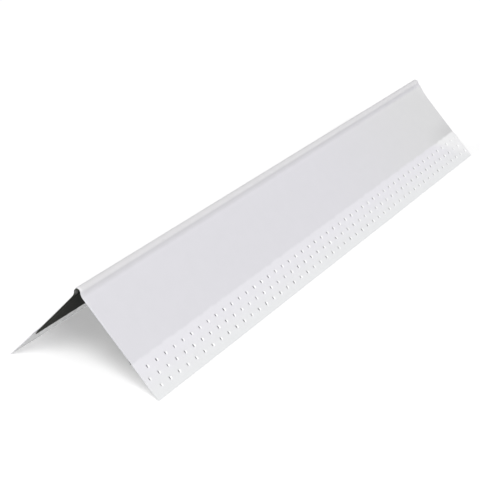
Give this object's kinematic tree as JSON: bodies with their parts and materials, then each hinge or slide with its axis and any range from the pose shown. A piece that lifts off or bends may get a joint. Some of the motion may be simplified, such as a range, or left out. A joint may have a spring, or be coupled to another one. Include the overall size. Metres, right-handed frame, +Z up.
{
  "type": "drywall corner bead",
  "caption": "Short length of paper-faced steel outside corner bead: a rolled nose between two legs, with perforated paper wings for bedding in joint compound.",
  "frame": {"origin": "middle of the bead's footprint, on the floor that its two paper edges stand on", "axes": "+Y along the bead's length, away from the end with the dark open section in the picture; +Z up, through the nose; +X across, towards the wing seen in the picture"},
  "size_m": [0.0712, 0.3048, 0.0381],
  "materials": {
    "dark_steel": "satin",
    "white_paper": "matte"
  },
  "bodies": {
    "root": {"metal_core": "dark_steel", "paper_facing": "white_paper"}
  },
  "joints": []
}
